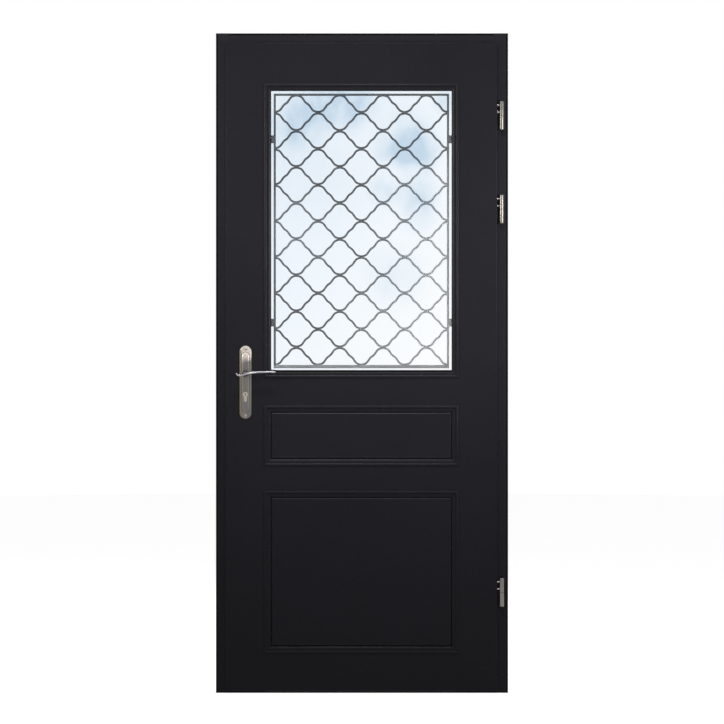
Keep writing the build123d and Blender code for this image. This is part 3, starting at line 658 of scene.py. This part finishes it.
# %% Extruding one bar
def wave_bar():
    clear_selection()
    step_x = (bar_right - bar_left) / (periods * steps_per_wave)
    middle = (bar_left + step_x / 2, (grille_low.y + grille_high.y) / 2, 0)
    bpy.ops.mesh.primitive_plane_add(size=1.0, location=middle)
    bar = bpy.context.object
    bar.scale = (step_x, grille_high.y - grille_low.y, 1.0)
    bpy.ops.object.transform_apply(location=True, rotation=True, scale=True)
    pick_edges(bar, lambda a, b: max(a.x, b.x) < bar_left + step_x * 0.1)
    bpy.ops.transform.translate(value=(0, 0, -swing * wave_rise(0.0)))
    pick_edges(bar, lambda a, b: min(a.x, b.x) > bar_left + step_x * 0.9)
    bpy.ops.transform.translate(value=(0, 0, -swing * wave_rise(2 * math.pi / steps_per_wave)))
    for step in range(2, periods * steps_per_wave + 1):
        before = wave_rise(2 * math.pi * (step - 1) / steps_per_wave)
        after = wave_rise(2 * math.pi * step / steps_per_wave)
        bpy.ops.mesh.extrude_region_move(
            TRANSFORM_OT_translate={"value": (step_x, 0, swing * (before - after))})
    settle(bar, "wave_bar")
    apply_modifier(bar, "SOLIDIFY", thickness=bar_thick, offset=0.0, use_even_offset=True)
    apply_modifier(bar, "BEVEL", width=0.0007, segments=2, limit_method="ANGLE", angle_limit=math.radians(60))
    return bar


first_bar = wave_bar()
print("one bar:", len(first_bar.data.polygons), "faces")


# %% Fifteen bars
def placed_bar(number):
    clear_selection()
    bar = first_bar.copy()
    bar.data = first_bar.data.copy()
    bpy.context.scene.collection.objects.link(bar)
    bar.select_set(True)
    bpy.context.view_layer.objects.active = bar
    open_whole()
    if number % 2:
        bpy.ops.transform.resize(value=(1, 1, -1), center_override=(0, 0, 0))
    bpy.ops.transform.translate(value=(0, 0, bar_top - pitch * (number + 0.5)))
    bpy.ops.object.mode_set(mode="OBJECT")
    return bar


bars = [placed_bar(number) for number in range(strand_count)]
bpy.data.objects.remove(first_bar)
print("bars from", round(bars[-1].bound_box[0][2], 3), "to", round(bars[0].bound_box[1][2], 3))

# %% [markdown]
# The border is a rectangle of the same bar, a little higher at the foot. Inset leaves its width,
# the middle is drawn up from the foot and deleted, and the ring is extruded to the bars' depth.

# %% The border
border = start_face(grille_low, grille_high, grille_low.y, -1)
bpy.ops.mesh.inset(thickness=border_thick, depth=0.0)
inside_tall = grille_high.z - grille_low.z - 2 * border_thick
bpy.ops.transform.resize(value=(1, 1, 1 - foot_extra / inside_tall),
                         center_override=(0, 0, grille_high.z - border_thick))
bpy.ops.mesh.delete(type="FACE")
bpy.ops.mesh.select_all(action="SELECT")
bpy.ops.mesh.extrude_region_move(TRANSFORM_OT_translate={"value": (0, grille_high.y - grille_low.y, 0)})
settle(border, "border")
apply_modifier(border, "BEVEL", width=0.0007, segments=2, limit_method="ANGLE", angle_limit=math.radians(60))
print("border:", len(border.data.polygons), "faces")

# %% [markdown]
# Where two bars touch, the welder left a small bead. It is a cube squashed along the seam, whose
# edges are rounded by a bevel.

# %% Weld beads
def weld_bead(x, z):
    """One bead at a seam, a little less deep than the bars."""
    piece = block((x, (grille_low.y + grille_high.y) / 2, z),
                  (0.0165, grille_high.y - grille_low.y - 0.0012, 0.0052))
    apply_modifier(piece, "BEVEL", width=0.0022, segments=2)
    return piece


beads = []
for seam in range(1, strand_count):
    for half in range(2 * periods + 1):
        crest_below = (half % 2 == 1) == (seam % 2 == 0)
        if crest_below and 0 < half < 2 * periods:
            x = bar_left + (bar_right - bar_left) * half / (2 * periods)
            beads.append(weld_bead(x, bar_top - pitch * seam))
print("weld beads:", len(beads))

# %% Joining the grille
join_to(border, bars + beads)
settle(border, "wave_grille")
bpy.ops.object.shade_smooth_by_angle(angle=math.radians(35))
dress(border, grille_paint)
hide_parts("grille")
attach(border, "leaf")
print("grille:", len(border.data.polygons), "faces")

# %% [markdown]
# ## Turned pieces
# Necks, barrels, studs and screws are all turned on a lathe. A filled circle is extruded along
# its axis from station to station, and each new ring is resized to the radius it has there.

# %% Turning on a lathe
def turned(name, foot, axis, stations, sides=40):
    """A round piece from foot along axis ("x", "y" or "z"), through stations of (distance, radius)."""
    clear_selection()
    direction = Vector([1.0 if letter == axis else 0.0 for letter in "xyz"])
    turn = {"x": (0, math.pi / 2, 0), "y": (-math.pi / 2, 0, 0), "z": (0, 0, 0)}[axis]
    start, radius = stations[0]
    centre = Vector(foot) + direction * start
    bpy.ops.mesh.primitive_circle_add(vertices=sides, radius=radius, fill_type="NGON",
                                      location=centre, rotation=turn)
    piece = bpy.context.object
    bpy.ops.object.transform_apply(location=True, rotation=True, scale=True)
    open_whole()
    for distance, next_radius in stations[1:]:
        bpy.ops.mesh.extrude_region_move(TRANSFORM_OT_translate={"value": direction * (distance - start)})
        centre = Vector(foot) + direction * distance
        share = next_radius / radius
        bpy.ops.transform.resize(value=(share, share, share), center_override=centre)
        start, radius = distance, next_radius
    settle(piece, name)
    bpy.ops.object.shade_smooth_by_angle(angle=math.radians(40))
    return piece


def rounded_end(start, radius, ease, towards):
    """Stations that round the end of a turned piece off, over the distance ease."""
    turns = [math.pi / 2 * i / 4 for i in range(5)]
    stations = [(start + towards * ease * math.sin(a), radius - ease * (1 - math.cos(a))) for a in turns]
    return stations if towards > 0 else stations[::-1]


# %% [markdown]
# ## Hinges
# Each hinge is a barrel in two halves with rounded ends and a thin gap at the joint.
# The upper half has two bright studs that are screwed into the edge of the leaf.

# %% Hinge barrels and studs
barrel_radius, joint_radius, end_ease = 0.008, 0.0074, 0.0022
for place in ("top", "middle", "bottom"):
    leaf_low, leaf_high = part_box(place + "_hinge_leaf_half")
    frame_low, frame_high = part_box(place + "_hinge_frame_half")
    centre_x = leaf_high.x - barrel_radius
    centre_y = leaf_high.y - barrel_radius
    middle_z = leaf_low.z
    upper = turned(place + "_upper_barrel", (centre_x, centre_y, 0), "z",
                   [(middle_z, joint_radius), (middle_z + 0.0005, barrel_radius)]
                   + rounded_end(leaf_high.z - end_ease, barrel_radius, end_ease, 1))
    lower_top = middle_z - 0.0004
    lower = turned(place + "_lower_barrel", (centre_x, centre_y, 0), "z",
                   rounded_end(frame_low.z + end_ease, barrel_radius, end_ease, -1)
                   + [(lower_top - 0.0005, barrel_radius), (lower_top, joint_radius)])
    for part, body, node in ((upper, "leaf", "leaf"), (lower, "frame", "frame")):
        dress(part, barrel_nickel)
        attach(part, body)
        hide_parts(f"{place}_hinge_{node}_half")
    for number, stud_z in enumerate((leaf_high.z - 0.013 - 0.0235, leaf_high.z - 0.013)):
        stud = turned(f"{place}_stud_{number}", (leaf_low.x, centre_y, stud_z), "x",
                      [(0.0, 0.0035), (0.0335, 0.0035), (0.0337, 0.0033), (0.0348, 0.0037), (0.0362, 0.0035),
                       (0.0368, 0.0022), (centre_x - leaf_low.x - 0.004, 0.0022)], sides=24)
        dress(stud, stud_steel)
        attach(stud, "leaf")
print("barrel centre at", round(centre_x, 4), round(centre_y, 4))

# %% [markdown]
# ## Levers
# The lever is cast: one soft bar that rises out of a dip below the spindle, runs nearly level and
# ends in a slightly thinner tip, with a short upturned tail on the other side. A twelve-sided section is
# extruded from station to station and resized at each one, and Subdivision Surface then rounds
# the whole bar.

# %% The bar of a lever
stretch = [(-0.0140, -0.0060), (-0.0080, -0.0047), (0.0, -0.0018), (0.0080, 0.0008), (0.0170, 0.0030),
           (0.0300, 0.0043), (0.0480, 0.0052), (0.0660, 0.0058), (0.0800, 0.0060), (0.0900, 0.0058)]
inside_line = [(-0.0304, 0.0004, 0.5), (-0.0298, 0.0002, 0.86), (-0.0277, -0.0010, 1.0),
               (-0.0240, -0.0036, 1.0), (-0.0195, -0.0058, 1.0)] + [(x, z, 1.0) for x, z in stretch] + [
    (0.0970, 0.0054, 0.92), (0.1010, 0.0052, 0.84), (0.1016, 0.0052, 0.5)]
outside_line = [(-0.0238, -0.0046, 0.5), (-0.0232, -0.0047, 0.86), (-0.0215, -0.0054, 1.0)] + inside_line[5:]
bar_tall, bar_deep, bar_out = 0.0086, 0.0118, 0.046


def lever_bar(name, line, face_y, outward):
    """The bar of a lever: line holds (x, z, share of the full section), measured from the spindle."""
    clear_selection()
    y = face_y + outward * bar_out
    x, z, share = line[0]
    centre = Vector((spindle_x + x, y, spindle_z + z))
    bpy.ops.mesh.primitive_circle_add(vertices=12, radius=0.5, fill_type="NGON", location=centre,
                                      rotation=(0, math.pi / 2, 0))
    bar = bpy.context.object
    bar.scale = (bar_tall * share, bar_deep * share, 1.0)
    bpy.ops.object.transform_apply(location=True, rotation=True, scale=True)
    open_whole()
    for x, z, next_share in line[1:]:
        after = Vector((spindle_x + x, y, spindle_z + z))
        bpy.ops.mesh.extrude_region_move(TRANSFORM_OT_translate={"value": after - centre})
        ratio = next_share / share
        bpy.ops.transform.resize(value=(1, ratio, ratio), center_override=after)
        centre, share = after, next_share
    settle(bar, name)
    apply_modifier(bar, "SUBSURF", levels=2, render_levels=2)
    return bar


# %% [markdown]
# The neck carries the bar away from the plate. It leaves the collar at full width, draws in with
# a soft cove and widens a little where it meets the bar.

# %% Neck and lever together
def lever(name, line, face_y, outward, node):
    bar = lever_bar(name, line, face_y, outward)
    stations = [(0.0006, 0.0089), (0.0108, 0.0089), (0.0116, 0.0085), (0.0128, 0.0074), (0.0146, 0.0062),
                (0.0180, 0.0054), (0.0300, 0.0050), (0.0360, 0.0050), (0.0400, 0.0052), (0.0455, 0.0046)]
    if outward < 0:
        stations = [(-distance, radius) for distance, radius in stations]
    neck = turned(name + "_neck", (spindle_x, face_y, spindle_z), "y", stations)
    join_to(bar, [neck])
    bpy.ops.object.shade_smooth_by_angle(angle=math.radians(50))
    dress(bar, lever_nickel)
    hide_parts(node)
    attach(bar, "handle")
    return bar


plate_in, plate_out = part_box("inside_plate"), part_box("outside_plate")
face_in, face_out = plate_in[1].y, plate_out[0].y
inside_handle = lever("inside_handle", inside_line, face_in, -1, "inside_lever")
outside_handle = lever("outside_handle", outside_line, face_out, 1, "outside_lever")
print("lever reaches from", round(inside_handle.bound_box[0][0], 3),
      "to", round(inside_handle.bound_box[6][0], 3))

# %% [markdown]
# ## Handle plates
# A plate is a pressed sheet with a rounded rim, and a narrower field that swells out of it. Both
# are circles pulled apart into a long oval, raised by extrude and rounded by small insets. At
# each inset the field also loses a little length, which draws its two ends out into soft slopes.

# %% An oval raised step by step
def long_oval(name, low, high, half_width, y, outward, start, steps):
    """An oval from low to high in Z, raised by start, then by steps of (inwards, out, lost length)."""
    clear_selection()
    middle = Vector(((low.x + high.x) / 2, y, (low.z + high.z) / 2))
    bpy.ops.mesh.primitive_circle_add(vertices=48, radius=half_width, fill_type="NGON", location=middle,
                                      rotation=(-outward * math.pi / 2, math.pi / 48, 0))
    piece = bpy.context.object
    bpy.ops.object.transform_apply(location=True, rotation=True, scale=True)
    pull = (high.z - low.z) / 2 - half_width
    pick_edges(piece, lambda a, b: min(a.z, b.z) > middle.z)
    bpy.ops.transform.translate(value=(0, 0, pull))
    pick_edges(piece, lambda a, b: max(a.z, b.z) < middle.z)
    bpy.ops.transform.translate(value=(0, 0, -pull))
    open_whole()
    bpy.ops.mesh.extrude_region_move(TRANSFORM_OT_translate={"value": (0, outward * start, 0)})
    half = (high.z - low.z) / 2
    for inwards, out, lost in steps:
        bpy.ops.mesh.inset(thickness=inwards, depth=out, use_even_offset=True)
        bpy.ops.transform.resize(value=(1, 1, 1 - lost / half), center_override=middle)
    settle(piece, name)
    return piece


# %% Plates with their fields
sheet_half, field_half, shadow_half, bore_radius = 0.01975, 0.01375, 0.0145, 0.0096


def handle_plate(side, box, outward):
    """The plate: a sheet and its field in one piece, and a dark band of painted shade round the field's foot.
    """
    low, high = box
    back = high.y if outward < 0 else low.y
    sheet = long_oval(side + "_handle_plate", low, high, sheet_half, back, outward, 0.0024,
                      [(0.0003, 0.0008, 0), (0.0006, 0.0005, 0), (0.0009, 0.0003, 0)])
    ends = Vector((0, 0, 0.021))
    field = long_oval(side + "_field", low + ends, high - ends, field_half,
                      back + outward * 0.0032, outward, 0.0009,
                      [(0.0011, 0.0019, 0), (0.0010, 0.0010, 0.0010), (0.0010, 0.0006, 0.0022),
                       (0.0014, 0.0004, 0.0040)])
    band_low, band_high = low + ends - Vector((0, 0, 0.0010)), high - ends + Vector((0, 0, 0.0014))
    # The band round the field's foot is painted shade.
    shade_ring = long_oval(side + "_field_shadow", band_low, band_high, shadow_half,
                      back + outward * 0.0035, outward, 0.0006, [])
    for piece in (sheet, field, shade_ring):
        bore = turned("bore", (spindle_x, back - outward * 0.001, spindle_z), "y",
                      [(0.0, bore_radius), (outward * 0.012, bore_radius)])
        apply_modifier(piece, "BOOLEAN", object=bore, operation="DIFFERENCE", solver="EXACT")
        bpy.data.objects.remove(bore)
    join_to(sheet, [field])
    bpy.ops.object.shade_smooth_by_angle(angle=math.radians(50))
    dress(sheet, plate_nickel)
    dress(shade_ring, shade_nickel)
    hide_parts(side + "_plate")
    for piece in (sheet, shade_ring):
        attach(piece, "leaf")
    return sheet


for side, box, outward in (("inside", plate_in, -1), ("outside", plate_out, 1)):
    made = handle_plate(side, box, outward)
    print(made.name, [round(x * 1000, 1) for x in made.dimensions], "mm,", len(made.data.polygons), "faces")

# %% [markdown]
# ## Collars and screws
# The collar round the neck is a torus let into the plate. The screws have a domed head with one
# straight slot, which is a thin block let into the dome, dark as a painted shade of the slot.

# %% Collars
for name, y, outward in (("inside_collar", plate_in[0].y, -1), ("outside_collar", plate_out[1].y, 1)):
    clear_selection()
    centre = (spindle_x, y - outward * 0.0020, spindle_z)
    bpy.ops.mesh.primitive_torus_add(major_radius=0.0114, minor_radius=0.0020,
                                     major_segments=48, minor_segments=14,
                                     location=centre, rotation=(math.pi / 2, 0, 0))
    collar = bpy.context.object
    settle(collar, name)
    bpy.ops.object.shade_smooth()
    dress(collar, plate_nickel)
    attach(collar, "leaf")
    print(name, [round(x * 1000, 1) for x in collar.dimensions], "mm")


# %% Screws
def screw(name, centre, axis, towards, slot_turn, radius=0.0044, body="leaf"):
    """A domed, slotted screw head at centre, facing towards (1 or -1) along axis."""
    dome = [(0.0, radius), (0.0004, radius * 0.98), (0.0009, radius * 0.86), (0.0013, radius * 0.62),
            (0.0015, radius * 0.3)]
    if towards < 0:
        dome = [(-distance, size) for distance, size in dome]
    head = turned(name, centre, axis, dome, sides=28)
    direction = Vector([1.0 if letter == axis else 0.0 for letter in "xyz"])
    size = [0.0012, 0.0012, 0.0012]
    size["xyz".index("x" if axis == "y" else "y")] = radius * 1.5
    groove = block(Vector(centre) + direction * towards * 0.0010, size, direction * slot_turn)
    apply_modifier(groove, "BEVEL", width=0.00015, segments=2)
    groove.name = name + "_slot"
    for part, finish in ((head, screw_nickel), (groove, slot_shade)):
        dress(part, finish)
        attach(part, body)
    return head


# %% [markdown]
# Each plate has a screw near each end, the upper one in a long hole, and the cylinder shows a
# keyway. The long hole and the keyway are flat dark blocks, painted shade for their depth. The
# faceplate in the edge of the leaf has two screws.

# %% Screws, long holes and keyways
plate_middle = (plate_in[0].z + plate_in[1].z) / 2
plate_screw_out, faceplate_screw_out = 0.110, 0.108
for side, y, outward in (("inside", face_in, -1), ("outside", face_out, 1)):
    for end, turn in ((1, 0.1), (-1, 0.7)):
        centre = (spindle_x, y + outward * 0.0040, plate_middle + end * plate_screw_out)
        screw(f"{side}_plate_screw_{'upper' if end > 0 else 'lower'}", centre, "y", outward, turn)
    # The long hole is a flat block in dull nickel, a painted shade of the hole.
    long_hole = block((spindle_x, y + outward * 0.0041, plate_middle + plate_screw_out),
                      (0.0128, 0.0006, 0.0052))
    apply_modifier(long_hole, "BEVEL", width=0.0002, segments=2)
    settle(long_hole, side + "_long_hole")
    cylinder_low, cylinder_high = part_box("lock_cylinder")
    cylinder_end = cylinder_low.y if outward < 0 else cylinder_high.y
    key_place = (spindle_x, cylinder_end - outward * 0.0016, cylinder_high.z - 0.0085)
    keyway = block(key_place, (0.0024, 0.0016, 0.0079))
    settle(keyway, side + "_keyway")
    for part, finish in ((long_hole, shade_nickel), (keyway, slot_shade)):
        dress(part, finish)
        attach(part, "leaf")
face_low, face_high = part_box("lock_faceplate")
for end in (1, -1):
    face_middle = (face_low + face_high) / 2
    centre = (face_low.x + 0.0004, face_middle.y, face_middle.z + end * faceplate_screw_out)
    screw(f"faceplate_screw_{'upper' if end > 0 else 'lower'}", centre, "x", -1, 0.4, radius=0.0038)
print("screws on plates and faceplate: 6")

# %% [markdown]
# ## Camera
# The door is seen straight on. The camera stands ten metres away at eye height and is shifted
# instead of tilted, which keeps the uprights parallel. The picture takes in 2.4 m.

# %% Camera
frame_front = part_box("frame_lock_jamb")[0].y
distance, eye_height = 10.0, 1.40
picture_width, picture_middle = 2.404042, 1.098589
clear_selection()
bpy.ops.object.camera_add(location=(0.0, frame_front - distance, eye_height), rotation=(math.pi / 2, 0, 0))
camera = bpy.context.object
camera.name = "camera"
camera.data.sensor_width = 36.0
camera.data.lens = 36.0 * distance / picture_width
camera.data.shift_y = (picture_middle - eye_height) / picture_width
bpy.context.scene.camera = camera
print("lens", round(camera.data.lens, 1), "shift", round(camera.data.shift_y, 4))

# %% [markdown]
# ## Floor, backdrop and light
# The floor is a large pale disc. For the camera it has some white of its own, so that it
# meets the white world without an edge and still keeps a soft shadow. The world is white to the
# camera, through the glass and in reflections, and dimmer as a lamp.

# %% Rays that look at the background
def looked_at(tree):
    """1 for rays that come from the camera, from a shiny surface or through glass, else 0."""
    ray = tree.nodes.new("ShaderNodeLightPath")
    total = ray.outputs["Is Camera Ray"]
    for kind in ("Is Glossy Ray", "Is Transmission Ray"):
        total = combine(tree, "MAXIMUM", total, ray.outputs[kind])
    return total


# %% Floor
clear_selection()
bpy.ops.mesh.primitive_circle_add(vertices=96, radius=1.0, fill_type="NGON", location=(0, 0, -0.0005))
floor = bpy.context.object
floor.scale = (9.0, 9.0, 1.0)
bpy.ops.object.transform_apply(location=True, rotation=True, scale=True)
floor.name = "floor"
floor_paint = bpy.data.materials.new("pale_floor")
floor_paint.use_nodes = True
tree = floor_paint.node_tree
tree.nodes.clear()
matt = tree.nodes.new("ShaderNodeBsdfDiffuse")
tree.links.new(ramp(tree, pattern(tree, (2.0, 2.0, 2.0)),
                    (0.3, (0.60, 0.60, 0.60)), (0.7, (0.64, 0.64, 0.64))),
               matt.inputs["Color"])
glow = tree.nodes.new("ShaderNodeEmission")
tree.links.new(combine(tree, "MULTIPLY", looked_at(tree), 0.93), glow.inputs["Strength"])
both = tree.nodes.new("ShaderNodeAddShader")
tree.links.new(matt.outputs[0], both.inputs[0])
tree.links.new(glow.outputs[0], both.inputs[1])
output = tree.nodes.new("ShaderNodeOutputMaterial")
tree.links.new(both.outputs[0], output.inputs["Surface"])
dress(floor, floor_paint)
print("floor:", round(floor.dimensions.x, 1), "m across")

# %% World
world = bpy.data.worlds.new("studio")
bpy.context.scene.world = world
world.use_nodes = True
tree = world.node_tree
tree.nodes.clear()
place = tree.nodes.new("ShaderNodeTexCoord")
split = tree.nodes.new("ShaderNodeSeparateXYZ")
tree.links.new(place.outputs["Generated"], split.inputs["Vector"])
sky = ramp(tree, spread(tree, split.outputs["Z"], 0.0, 1.0, -0.4, 0.8), (0.0, (0.16, 0.16, 0.17)),
           (0.45, (0.42, 0.42, 0.44)), (1.0, (0.95, 0.95, 1.0)))
lamp = tree.nodes.new("ShaderNodeBackground")
tree.links.new(sky, lamp.inputs["Color"])
lamp.inputs["Strength"].default_value = 0.07
white = tree.nodes.new("ShaderNodeBackground")
white.inputs["Color"].default_value = (1, 1, 1, 1)
white.inputs["Strength"].default_value = 1.0
mix = tree.nodes.new("ShaderNodeMixShader")
tree.links.new(looked_at(tree), mix.inputs["Fac"])
tree.links.new(lamp.outputs[0], mix.inputs[1])
tree.links.new(white.outputs[0], mix.inputs[2])
output = tree.nodes.new("ShaderNodeOutputWorld")
tree.links.new(mix.outputs[0], output.inputs["Surface"])
print("world:", world.name)


# %% Lamps
def soft_lamp(name, place, aim, width, height, power, colour=(1, 1, 1), spread_angle=180):
    clear_selection()
    bpy.ops.object.light_add(type="AREA", location=place)
    lamp_piece = bpy.context.object
    lamp_piece.name = name
    lamp_piece.data.shape = "RECTANGLE"
    lamp_piece.data.size, lamp_piece.data.size_y = width, height
    lamp_piece.data.energy = power
    lamp_piece.data.color = colour
    lamp_piece.data.spread = math.radians(spread_angle)
    lamp_piece.visible_camera = False
    lamp_piece.visible_transmission = False
    lamp_piece.rotation_euler = (Vector(aim) - Vector(place)).to_track_quat("-Z", "Y").to_euler()
    return lamp_piece


soft_lamp("top_lamp", (-0.1, -2.2, 4.2), (0.0, 0.0, 1.75), 1.1, 0.45, 48.0)
soft_lamp("left_lamp", (-1.7, -1.6, 1.8), (0.0, 0.0, 1.6), 0.6, 0.9, 4.2, (1.0, 0.96, 0.90), 70)
soft_lamp("right_lamp", (1.7, -1.6, 1.6), (0.2, 0.0, 1.4), 0.5, 0.9, 5.0, (0.97, 0.98, 1.0), 70)
soft_lamp("outside_lamp", (0.8, 2.6, 2.6), (0.0, 0.0, 1.2), 1.6, 1.2, 60.0)
bpy.context.scene.view_settings.view_transform = "Standard"
print("lamps: 4")

# %% [markdown]
# ## The end
# The dressed door must stay inside the box of its solids.

# %% Finish
clear_selection()
